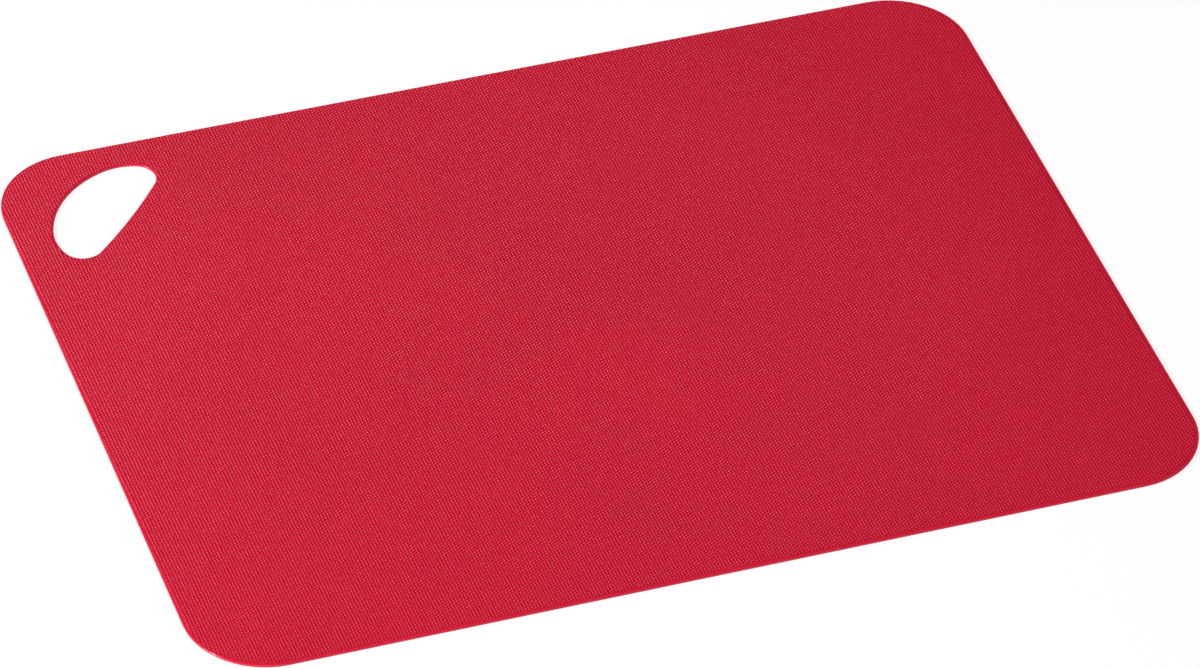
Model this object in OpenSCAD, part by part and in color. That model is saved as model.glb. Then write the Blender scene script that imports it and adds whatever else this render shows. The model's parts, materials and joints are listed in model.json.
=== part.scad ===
// Flexible cutting mat: one thin plastic sheet with round corners and a hanging hole in its far left
// corner. The origin is at the middle of the underside, with +X to the right and +Y to the far edge.

/* [Sheet] */
// Length of the sheet, from its left edge to its right edge
mat_length = 380; // [240:1:600]
// Width of the sheet, from its near edge to its far edge
mat_width = 290; // [180:1:450]
// Thickness of the sheet
mat_thickness = 1; // [0.6:0.1:3]
// Radius of the four corners, seen from above
corner_radius = 30; // [5:1:60]
// Radius that takes the sharpness off every cut edge, above and below
edge_radius = 0.25; // [0.05:0.05:0.25]

/* [Hanging hole] */
// Distance from the left edge to the middle of the hole
hole_from_left = 35; // [33:1:80]
// Distance from the far edge to the middle of the hole
hole_from_far = 33.4; // [33:0.2:80]
// Angle from the sheet's near edge to the hole's long side
hole_angle = 47; // [0:1:90]
// Length of the hole, from end to end
hole_length = 58.4; // [44:0.2:72]
// Depth of the hole, from its long side to its crown
hole_depth = 26.9; // [22:0.1:34]
// Radius of the hole's two ends
end_radius = 8; // [5:0.5:10]
// Radius of the long side, which bows out a little
long_side_radius = 250; // [120:10:1000]
// Angle that the crown's arc spans
crown_angle = 57; // [40:1:70]
// Angle that each shoulder's arc spans, between the crown and an end
shoulder_angle = 35; // [20:1:45]

/* [Hidden] */
$fn = 240;
edge_facets = 24;
// How far a cutter goes past what it cuts
cut_past = 1;
// Each joint of two arcs is cut along the line square to both, from inside the hole to outside it
joint_inside = end_radius / 2;
joint_outside = hole_length;

straight_length = mat_length - 2 * corner_radius;
straight_width = mat_width - 2 * corner_radius;

// The hole is drawn with its length along X, from the middle of its long side. Its outline is six
// arcs, each tangent to the next. The directions in which one arc hands over to the next:
shoulder_start = 90 - crown_angle / 2;
end_start = shoulder_start - shoulder_angle;

// The end's arc reaches the hole's full length, and lies inside the long side's arc.
end_x = hole_length / 2 - end_radius;
end_y = long_side_radius - sqrt(pow(long_side_radius - end_radius, 2) - pow(end_x, 2));
end_finish = atan2(end_y - long_side_radius, end_x);

// From the end's centre to the crown's, the centres step back by the difference of two radii each
// time. The two steps have to span end_x and leave the crown at the hole's depth.
rise = hole_depth - end_radius - end_y;
step_base = cos(shoulder_start) * (1 - sin(end_start)) - cos(end_start) * (1 - sin(shoulder_start));
crown_step = (end_x * (1 - sin(end_start)) - rise * cos(end_start)) / step_base;
shoulder_step = (rise * cos(shoulder_start) - end_x * (1 - sin(shoulder_start))) / step_base;
shoulder_radius = end_radius + shoulder_step;
crown_radius = shoulder_radius + crown_step;
crown_centre = [0, hole_depth - crown_radius];
shoulder_centre = crown_centre + crown_step * direction(shoulder_start);

// Each arc is its centre, its radius, and the directions where it starts and stops, anticlockwise.
hole_arcs = [
    [[end_x, end_y], end_radius, end_finish, end_start],
    [shoulder_centre, shoulder_radius, end_start, shoulder_start],
    [crown_centre, crown_radius, shoulder_start, 180 - shoulder_start],
    [mirrored(shoulder_centre), shoulder_radius, 180 - shoulder_start, 180 - end_start],
    [[-end_x, end_y], end_radius, 180 - end_start, 180 - end_finish],
    [[0, long_side_radius], long_side_radius, 180 - end_finish, 360 + end_finish],
];

function direction(angle) = [cos(angle), sin(angle)];
function mirrored(point) = [-point[0], point[1]];
// Point beside an arc, in this direction from its centre and this far outside the hole
function beside_arc(arc, angle, outside) = arc[0] + (arc[1] + outside) * direction(angle);

// Section of the sheet out to an edge that lies at reach, with its two corners rounded
module edge_section(reach) {
    square([reach - edge_radius, mat_thickness]);
    translate([0, edge_radius])
        square([reach, mat_thickness - 2 * edge_radius]);
    for (height = [edge_radius, mat_thickness - edge_radius])
        translate([reach - edge_radius, height])
            circle(edge_radius, $fn = edge_facets);
}

// Straight border of the sheet, from the ends of one corner's arc to the next
module border(start, run, turn) {
    rotate(turn)
        translate([start, run / 2, 0])
            rotate([90, 0, 0])
                linear_extrude(run)
                    edge_section(corner_radius);
}

module corner(turn, x, y) {
    translate([x, y, 0])
        rotate(turn)
            rotate_extrude(angle = 90)
                edge_section(corner_radius);
}

// The sheet before its hole is cut
module blank() {
    half_length = straight_length / 2;
    half_width = straight_width / 2;
    translate([-half_length, -half_width, 0])
        cube([straight_length, straight_width, mat_thickness]);
    for (turn = [0, 180]) {
        border(half_length, straight_width, turn);
        border(half_width, straight_length, turn + 90);
    }
    corner(0, half_length, half_width);
    corner(90, -half_length, half_width);
    corner(180, -half_length, -half_width);
    corner(270, half_length, -half_width);
}

// Moves its children in two steps, to the thousandth and then by the rest, because two short numbers
// keep more of a position's digits than one does. Neighbouring arcs then meet without a step.
module move_exactly(offset) {
    coarse = [for (part = offset) round(part * 1000) / 1000];
    translate(coarse)
        translate(offset - coarse)
            children();
}

// Section of the ring that cuts an arc's wall, drawn with the wall at x = 0. It flares above and
// below, so that the wall's own edges come out round.
module ring_section(reach_in) {
    translate([-reach_in, -cut_past])
        square([reach_in, mat_thickness + 2 * cut_past]);
    for (side = [0, 1])
        translate([0, side * mat_thickness])
            mirror([0, side])
                difference() {
                    translate([-cut_past, -cut_past])
                        square([cut_past + edge_radius, cut_past + edge_radius]);
                    translate([edge_radius, edge_radius])
                        circle(edge_radius, $fn = edge_facets);
                }
}

module cut_through(outline) {
    translate([0, 0, -cut_past])
        linear_extrude(mat_thickness + 2 * cut_past)
            polygon(outline);
}

// A full ring, kept only between the two joints of its arc
module arc_cutter(arc) {
    half_span = (arc[3] - arc[2]) / 2;
    chord_depth = arc[1] - (arc[1] - joint_inside) * cos(half_span);
    intersection() {
        move_exactly([arc[0][0], arc[0][1], 0])
            rotate_extrude()
                move_exactly([arc[1], 0])
                    ring_section(chord_depth + cut_past / 2);
        cut_through([
            beside_arc(arc, arc[2], -joint_inside),
            beside_arc(arc, arc[2], joint_outside),
            beside_arc(arc, arc[3], joint_outside),
            beside_arc(arc, arc[3], -joint_inside),
        ]);
    }
}

module hole_cutter() {
    cut_through([for (arc = hole_arcs) beside_arc(arc, arc[2], -joint_inside)]);
    for (arc = hole_arcs)
        arc_cutter(arc);
}

module cutting_mat() {
    color("#c32439")
        difference() {
            blank();
            translate([hole_from_left - mat_length / 2, mat_width / 2 - hole_from_far, 0])
                rotate(hole_angle)
                    translate([0, -hole_depth / 2, 0])
                        hole_cutter();
        }
}

cutting_mat();
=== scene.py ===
# Looks of a flexible cutting mat: a red polypropylene sheet with a fine embossed grip on both faces.
# Lengths are in metres unless a name ends in _MM.

import json
import math

import bpy
import numpy as np
from mathutils import Matrix, Vector
from mathutils.bvhtree import BVHTree

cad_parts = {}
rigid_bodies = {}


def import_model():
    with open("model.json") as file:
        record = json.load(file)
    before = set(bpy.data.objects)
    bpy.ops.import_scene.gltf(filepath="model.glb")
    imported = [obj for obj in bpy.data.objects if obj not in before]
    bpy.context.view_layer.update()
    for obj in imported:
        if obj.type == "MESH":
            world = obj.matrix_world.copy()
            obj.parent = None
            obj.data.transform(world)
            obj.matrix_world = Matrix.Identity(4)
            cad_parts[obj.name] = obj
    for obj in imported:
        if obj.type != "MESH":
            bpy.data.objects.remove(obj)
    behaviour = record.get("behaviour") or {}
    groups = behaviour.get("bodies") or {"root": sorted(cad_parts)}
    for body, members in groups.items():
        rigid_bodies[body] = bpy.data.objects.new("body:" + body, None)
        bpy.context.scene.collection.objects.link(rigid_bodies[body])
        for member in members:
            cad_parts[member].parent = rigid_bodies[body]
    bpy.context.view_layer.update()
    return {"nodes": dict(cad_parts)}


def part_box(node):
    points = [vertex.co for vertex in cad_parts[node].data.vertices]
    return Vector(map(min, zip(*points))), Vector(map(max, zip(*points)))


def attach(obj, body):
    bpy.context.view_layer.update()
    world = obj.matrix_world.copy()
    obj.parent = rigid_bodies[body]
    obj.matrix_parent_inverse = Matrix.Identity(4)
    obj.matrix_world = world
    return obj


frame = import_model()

MM = 0.001

# Embossed grip. The bumps stand in columns that run along the sheet's width, alternate columns half
# a bump out of step, and the columns lean a little to the left as they go back.
COLUMN_PITCH_MM = 1.197
BUMP_PITCH_MM = 1.325
COLUMN_LEAN = 0.018
RELIEF_MM = 0.3
UNDERSIDE_RELIEF_MM = 0.12
# The valleys stand this far over the sheet's flat face, and the emboss dips this far into it at a rim
VALLEY_LIFT_MM = 0.02
RIM_DIP_MM = 0.02
# How far an embossed strip is seated in the sheet
SEAT_DEPTH_MM = 0.1
# The emboss rises from nothing to full height between these distances from a cut edge. The rim is
# wider along the near, left and right edges than round the hole and along the far edge.
PLAIN_RIM_MM = 0.35
FULL_RELIEF_MM = 0.8
WIDE_FULL_RELIEF_MM = 2.0
# The outer edge, corners included, lies within this distance of the sheet's box
OUTER_EDGE_MM = 10
# Strips side by side on each face, and the mesh's steps to a bump. The face in view has the finer mesh.
TOP_STRIPS = 6
TOP_STEPS = 2
UNDERSIDE_STRIPS = 2
UNDERSIDE_STEPS = 1

# Reds of the plain rim, of the valleys between the bumps and of the bumps' tips. The darker valleys are
# painted shade and the lighter tips are a painted highlight. Each stop is a share of the way from the
# flat face up to RELIEF_MM over it.
RIM_RED = "#cc1838"
VALLEY_SHADE_RED = "#b20a28"
TIP_HIGHLIGHT_RED = "#dc2c4c"
RIM_STOP = 0.02
VALLEY_SHADE_STOP = 0.17
TIP_HIGHLIGHT_STOP = 1.0

# Shine of the pressed surface, and how much handling changes it either way
SHEEN_ROUGHNESS = 0.26
HANDLED_ROUGHNESS = 0.04
POLYPROPYLENE_IOR = 1.49
# Sizes of the drift of the pigment, of the handling marks and of the pressed grain, and its depth
DRIFT_MM = 90
HANDLING_MM = 25
GRAIN_MM = 0.35
GRAIN_DEPTH_MM = 0.02
GRAIN_STRENGTH = 0.05
DRIFT_SHADE = "#f8f8f8"
# A noise spends nearly all of its area between these two values
NOISE_LOW = 0.3
NOISE_HIGH = 0.7

# The camera, from the photograph's perspective
VIEW_AZIMUTH = -20.29
VIEW_ELEVATION = 40.59
VIEW_ROLL = 2.25
VIEW_DISTANCE = 2.992
VIEW_TARGET = (0.0, -0.009, 0.0)
LENS_MM = 246.6
SENSOR_MM = 36
VIEW_REACH = 100

FLOOR_SIZE = 12.0
FLOOR_GAP_MM = 0.15
FLOOR_WHITE = "#f4f4f4"
# Share of the floor's seen brightness that is its own, so that only a faint shadow shows
FLOOR_GLOW = 0.85

WORLD_STRENGTH = 0.08
# Each lamp's name, place, side in metres and power in watts
LAMPS = (
    ("key_box", (-3.0, -0.3, 1.95), 0.45, 216),
    ("far_box", (-0.5, 1.2, 1.0), 0.4, 2.3),
    ("front_box", (-0.6, -2.0, 1.2), 1.2, 10),
)


def linear(hex_colour):
    """An sRGB hex colour as linear red, green, blue and alpha."""
    parts = [int(hex_colour[i : i + 2], 16) / 255 for i in (1, 3, 5)]
    return [p / 12.92 if p <= 0.04045 else ((p + 0.055) / 1.055) ** 2.4 for p in parts] + [1.0]


def add_node(material, kind, settings=None, links=None):
    """Adds a node, sets its sockets or properties, and links its inputs to the outputs given."""
    tree = material.node_tree
    node = tree.nodes.new(kind)
    for name, value in (settings or {}).items():
        if isinstance(name, int) or name in node.inputs:
            node.inputs[name].default_value = value
        else:
            setattr(node, name, value)
    for name, output in (links or {}).items():
        tree.links.new(output, node.inputs[name])
    return node


def new_material(name):
    material = bpy.data.materials.new(name)
    material.use_nodes = True
    material.node_tree.nodes.clear()
    return material


def embossed_polypropylene(name, middle_z):
    """Polypropylene sheet, pressed between embossed rolls. It has a soft sheen with no clear
    reflection, and its colour and shine drift a little over a hand's breadth."""
    material = new_material(name)
    place = add_node(material, "ShaderNodeTexCoord").outputs["Object"]
    # Height over the sheet's middle plane. The flat rim is plain, the valleys of the emboss are
    # darkened with painted shade, and the tips of the bumps are lightened with a painted highlight.
    z = add_node(material, "ShaderNodeSeparateXYZ", links={"Vector": place}).outputs["Z"]
    level = add_node(
        material,
        "ShaderNodeMath",
        {"operation": "SUBTRACT", 1: middle_z},
        {0: z},
    ).outputs[0]
    height = add_node(material, "ShaderNodeMath", {"operation": "ABSOLUTE"}, {0: level}).outputs[0]
    share = add_node(
        material,
        "ShaderNodeMapRange",
        {"From Min": middle_z, "From Max": middle_z + RELIEF_MM * MM},
        {"Value": height},
    ).outputs["Result"]
    # Colour by height: painted shade in the valleys, painted highlight on the bump tips
    painted_relief_light = add_node(material, "ShaderNodeValToRGB", links={"Fac": share})
    rim, tip_highlight = painted_relief_light.color_ramp.elements
    rim.position = RIM_STOP
    rim.color = linear(RIM_RED)
    tip_highlight.position = TIP_HIGHLIGHT_STOP
    tip_highlight.color = linear(TIP_HIGHLIGHT_RED)
    valley_shade = painted_relief_light.color_ramp.elements.new(VALLEY_SHADE_STOP)
    valley_shade.color = linear(VALLEY_SHADE_RED)
    # Drift of the pigment
    drift = add_node(
        material,
        "ShaderNodeTexNoise",
        {"Scale": 1 / (DRIFT_MM * MM), "Detail": 2.0, "Roughness": 0.5},
        {"Vector": place},
    ).outputs["Fac"]
    shade = add_node(material, "ShaderNodeValToRGB", links={"Fac": drift})
    dark, full = shade.color_ramp.elements
    dark.position = NOISE_LOW
    dark.color = linear(DRIFT_SHADE)
    full.position = NOISE_HIGH
    colour = add_node(
        material,
        "ShaderNodeMixRGB",
        {"blend_type": "MULTIPLY", "Fac": 1.0},
        {"Color1": painted_relief_light.outputs["Color"], "Color2": shade.outputs["Color"]},
    ).outputs["Color"]
    # Faint handling marks in the shine
    handled = add_node(
        material,
        "ShaderNodeTexNoise",
        {"Scale": 1 / (HANDLING_MM * MM), "Detail": 4.0, "Roughness": 0.6},
        {"Vector": place},
    ).outputs["Fac"]
    shine = add_node(
        material,
        "ShaderNodeMapRange",
        {
            "From Min": NOISE_LOW,
            "From Max": NOISE_HIGH,
            "To Min": SHEEN_ROUGHNESS - HANDLED_ROUGHNESS,
            "To Max": SHEEN_ROUGHNESS + HANDLED_ROUGHNESS,
        },
        {"Value": handled},
    ).outputs["Result"]
    # Grain of the pressed surface
    grain = add_node(
        material,
        "ShaderNodeTexNoise",
        {"Scale": 1 / (GRAIN_MM * MM), "Detail": 2.0},
        {"Vector": place},
    ).outputs["Fac"]
    bump = add_node(
        material,
        "ShaderNodeBump",
        {"Strength": GRAIN_STRENGTH, "Distance": GRAIN_DEPTH_MM * MM},
        {"Height": grain},
    ).outputs["Normal"]
    shader = add_node(
        material,
        "ShaderNodeBsdfPrincipled",
        {"IOR": POLYPROPYLENE_IOR, "Specular IOR Level": 0.5},
        {"Base Color": colour, "Roughness": shine, "Normal": bump},
    ).outputs["BSDF"]
    add_node(material, "ShaderNodeOutputMaterial", links={"Surface": shader})
    return material


def matt_white_board(name):
    """Matt painted board. Seen straight or in a reflection it is white, with a faint shadow."""
    material = new_material(name)
    paths = add_node(material, "ShaderNodeLightPath").outputs
    camera_or_glossy = add_node(
        material,
        "ShaderNodeMath",
        {"operation": "MAXIMUM"},
        {0: paths["Is Camera Ray"], 1: paths["Is Glossy Ray"]},
    ).outputs[0]
    seen = add_node(
        material,
        "ShaderNodeMath",
        {"operation": "MAXIMUM"},
        {0: camera_or_glossy, 1: paths["Is Transmission Ray"]},
    ).outputs[0]
    board = add_node(material, "ShaderNodeBsdfDiffuse", {"Color": linear(FLOOR_WHITE)}).outputs[0]
    glow = add_node(
        material,
        "ShaderNodeEmission",
        {"Color": (1, 1, 1, 1), "Strength": 1.0},
    ).outputs[0]
    lit = add_node(
        material,
        "ShaderNodeMixShader",
        {"Fac": FLOOR_GLOW},
        {1: board, 2: glow},
    ).outputs[0]
    mix = add_node(
        material,
        "ShaderNodeMixShader",
        links={"Fac": seen, 1: board, 2: lit},
    ).outputs[0]
    add_node(material, "ShaderNodeOutputMaterial", links={"Surface": mix})
    return material


def deselect_all():
    for piece in bpy.context.scene.objects:
        piece.select_set(False)
    bpy.context.view_layer.objects.active = None


def wall_finder(node):
    """A tree of the sheet's upright walls, for the distance from a point to the nearest cut edge."""
    steepest_face = 0.5
    mesh = node.data
    points = [v.co.copy() for v in mesh.vertices]
    walls = [list(p.vertices) for p in mesh.polygons if abs(p.normal.z) < steepest_face]
    return BVHTree.FromPolygons(points, walls)


def smooth_rise(values):
    """An even rise from 0 to 1 that starts and ends level."""
    t = np.clip(values, 0, 1)
    return t * t * (3 - 2 * t)


def bump_height(x, y):
    """Height of the emboss from 0 to 1: three waves that peak together on every bump."""
    column = 2 * math.pi * (x + COLUMN_LEAN * y) / (COLUMN_PITCH_MM * MM)
    row = 2 * math.pi * y / (BUMP_PITCH_MM * MM)
    waves = np.cos(column) + 2 * np.cos(column / 2) * np.cos(row)
    lowest = -1.5
    highest = 3
    return (waves - lowest) / (highest - lowest)


def emboss_strip(name, number, strips, steps, relief_mm, up, face_z, walls, low, high):
    """One strip of an embossed face, modelled as a grid with so many steps to a bump each way."""
    x_step = COLUMN_PITCH_MM * MM / steps
    y_step = BUMP_PITCH_MM * MM / (2 * steps)
    lean = COLUMN_LEAN * (high.y - low.y) / 2
    columns = math.ceil((high.x - low.x + 2 * lean) / x_step / strips)
    rows = math.ceil((high.y - low.y) / y_step / 2) * 2
    left = (number - strips / 2) * columns
    deselect_all()
    bpy.ops.mesh.primitive_grid_add(x_subdivisions=columns, y_subdivisions=rows, size=1)
    strip = bpy.context.object
    strip.name = name
    mesh = strip.data
    flat = np.empty(len(mesh.vertices) * 3)
    mesh.vertices.foreach_get("co", flat)
    flat = flat.reshape(-1, 3)
    y = (np.round((flat[:, 1] + 0.5) * rows) - rows / 2) * y_step
    x = (left + np.round((flat[:, 0] + 0.5) * columns)) * x_step - COLUMN_LEAN * y
    middle = (low.z + high.z) / 2
    inside = np.empty(len(x))
    full = np.full(len(x), FULL_RELIEF_MM)
    for k, (px, py) in enumerate(zip(x, y)):
        spot = Vector((px, py, middle))
        near, normal, _, gap = walls.find_nearest(spot)
        inside[k] = -gap if (spot - near).dot(normal) > 0 else gap
        if min(near.x - low.x, high.x - near.x, near.y - low.y) < OUTER_EDGE_MM * MM:
            full[k] = WIDE_FULL_RELIEF_MM
    rise = smooth_rise((inside / MM - PLAIN_RIM_MM) / (full - PLAIN_RIM_MM))
    height = rise * (RIM_DIP_MM + VALLEY_LIFT_MM + relief_mm * bump_height(x, y)) - RIM_DIP_MM
    mesh.vertices.foreach_set("co", np.column_stack([x, y, face_z + up * height * MM]).ravel())
    for part in (mesh.edges, mesh.polygons):
        part.foreach_set("select", np.zeros(len(part), dtype=bool))
    mesh.vertices.foreach_set("select", inside < PLAIN_RIM_MM * MM)
    seat_on_sheet(face_z - up * SEAT_DEPTH_MM * MM)
    return strip


def seat_on_sheet(seat_z):
    """Cuts off what is selected, carries the border down into the sheet and closes the strip there."""
    bpy.ops.object.mode_set(mode="EDIT")
    bpy.ops.mesh.delete(type="VERT")
    bpy.ops.mesh.select_all(action="SELECT")
    bpy.ops.mesh.delete_loose()
    bpy.ops.mesh.select_mode(type="EDGE")
    bpy.ops.mesh.select_all(action="DESELECT")
    bpy.ops.mesh.select_non_manifold()
    bpy.ops.mesh.extrude_edges_move()
    bpy.ops.transform.resize(value=(1, 1, 0), center_override=(0, 0, seat_z))
    bpy.ops.mesh.fill(use_beauty=False)
    bpy.ops.mesh.select_all(action="SELECT")
    bpy.ops.mesh.normals_make_consistent(inside=False)
    bpy.ops.mesh.select_mode(type="VERT")
    bpy.ops.object.mode_set(mode="OBJECT")


def make_mat():
    sheet = frame["nodes"]["cutting_mat"]
    low, high = (Vector(c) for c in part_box("cutting_mat"))
    walls = wall_finder(sheet)
    plastic = embossed_polypropylene("polypropylene_embossed", (low.z + high.z) / 2)
    for slot in sheet.material_slots:
        slot.material = plastic
    for face, up, face_z, strips, steps, relief_mm in (
        ("top", 1, high.z, TOP_STRIPS, TOP_STEPS, RELIEF_MM),
        ("underside", -1, low.z, UNDERSIDE_STRIPS, UNDERSIDE_STEPS, UNDERSIDE_RELIEF_MM),
    ):
        for number in range(strips):
            name = f"grip_{face}_{number + 1}"
            strip = emboss_strip(
                name, number, strips, steps, relief_mm, up, face_z, walls, low, high
            )
            strip.data.materials.append(plastic)
            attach(strip, "root")


def make_floor():
    deselect_all()
    bpy.ops.mesh.primitive_plane_add(size=FLOOR_SIZE, location=(0, 0, -FLOOR_GAP_MM * MM))
    floor = bpy.context.object
    floor.name = "studio_floor"
    floor.data.materials.append(matt_white_board("matt_white_board"))


def soft_box(name, place, size, power):
    """A square lamp that faces the sheet."""
    data = bpy.data.lights.new(name, "AREA")
    data.shape = "SQUARE"
    data.size = size
    data.energy = power
    lamp = bpy.data.objects.new(name, data)
    lamp.location = place
    lamp.rotation_euler = (-Vector(place)).to_track_quat("-Z", "Y").to_euler()
    bpy.context.collection.objects.link(lamp)


def make_light():
    world = bpy.data.worlds.new("studio")
    bpy.context.scene.world = world
    world.use_nodes = True
    background = world.node_tree.nodes["Background"]
    background.inputs["Color"].default_value = (1, 1, 1, 1)
    background.inputs["Strength"].default_value = WORLD_STRENGTH
    for name, place, size, power in LAMPS:
        soft_box(name, place, size, power)


def make_camera():
    azimuth, elevation, roll = (math.radians(a) for a in (VIEW_AZIMUTH, VIEW_ELEVATION, VIEW_ROLL))
    back = Vector(
        (
            math.sin(azimuth) * math.cos(elevation),
            -math.cos(azimuth) * math.cos(elevation),
            math.sin(elevation),
        )
    )
    right = Vector((math.cos(azimuth), math.sin(azimuth), 0))
    up = back.cross(right)
    x_axis = right * math.cos(roll) + up * math.sin(roll)
    y_axis = up * math.cos(roll) - right * math.sin(roll)
    data = bpy.data.cameras.new("camera")
    data.sensor_width = SENSOR_MM
    data.lens = LENS_MM
    data.clip_end = VIEW_REACH
    camera = bpy.data.objects.new("camera", data)
    turn = Matrix((x_axis, y_axis, back)).transposed().to_4x4()
    camera.matrix_world = Matrix.Translation(Vector(VIEW_TARGET) + back * VIEW_DISTANCE) @ turn
    bpy.context.collection.objects.link(camera)
    bpy.context.scene.camera = camera


make_camera()
make_mat()
make_floor()
make_light()
bpy.context.scene.view_settings.view_transform = "Standard"
